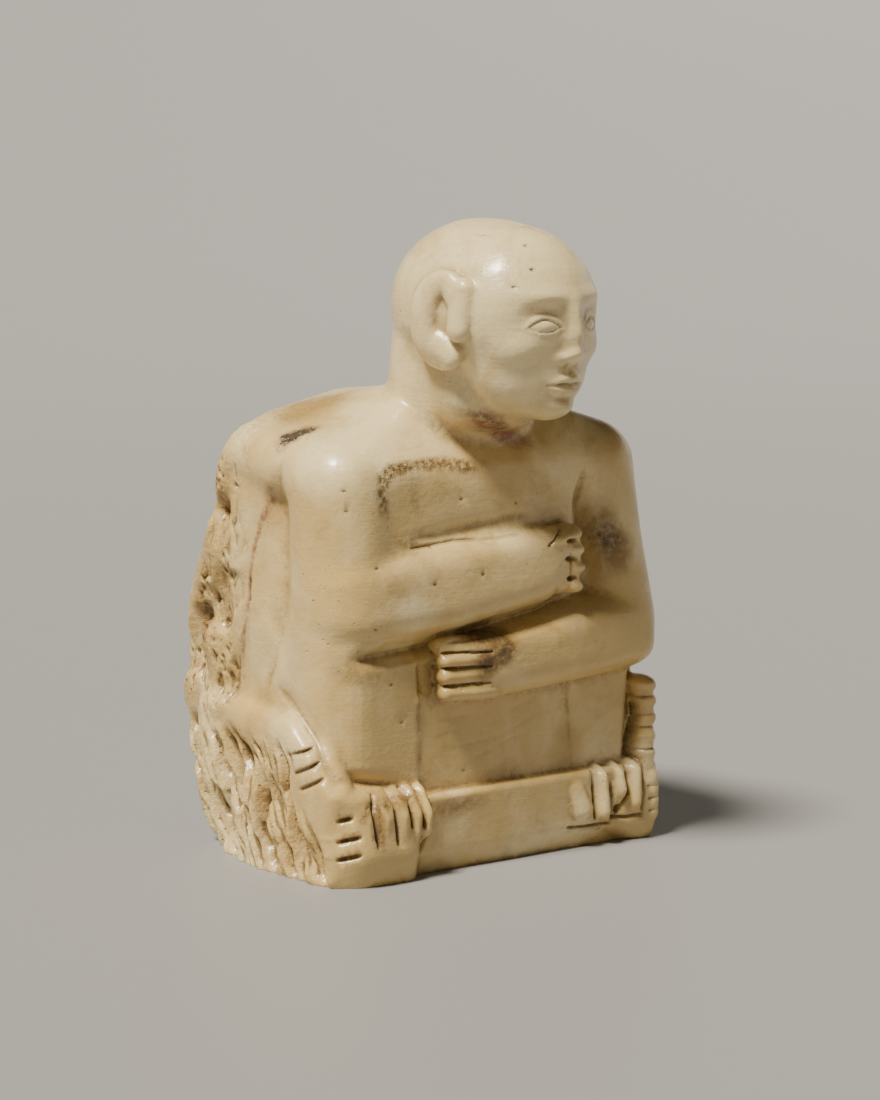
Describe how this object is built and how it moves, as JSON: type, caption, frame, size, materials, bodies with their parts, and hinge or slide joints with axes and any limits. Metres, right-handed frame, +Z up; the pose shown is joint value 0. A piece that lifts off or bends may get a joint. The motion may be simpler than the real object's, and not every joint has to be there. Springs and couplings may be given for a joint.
{
  "type": "alabaster stele figure",
  "caption": "Small carved alabaster stele: a seated figure with crossed arms, cut in one block with a back slab and a low plinth, to stand on a shelf.",
  "frame": {"origin": "middle of the footprint on the flat underside", "axes": "+Z up through the head, -Y towards the front that the figure faces, +X towards the figure's left hand"},
  "size_m": [0.1338, 0.1194, 0.2],
  "materials": {
    "alabaster": "hand-smoothed alabaster with a waxy gloss, rough and pitted where it is worn"
  },
  "bodies": {
    "root": {"stele": "alabaster"}
  },
  "joints": []
}
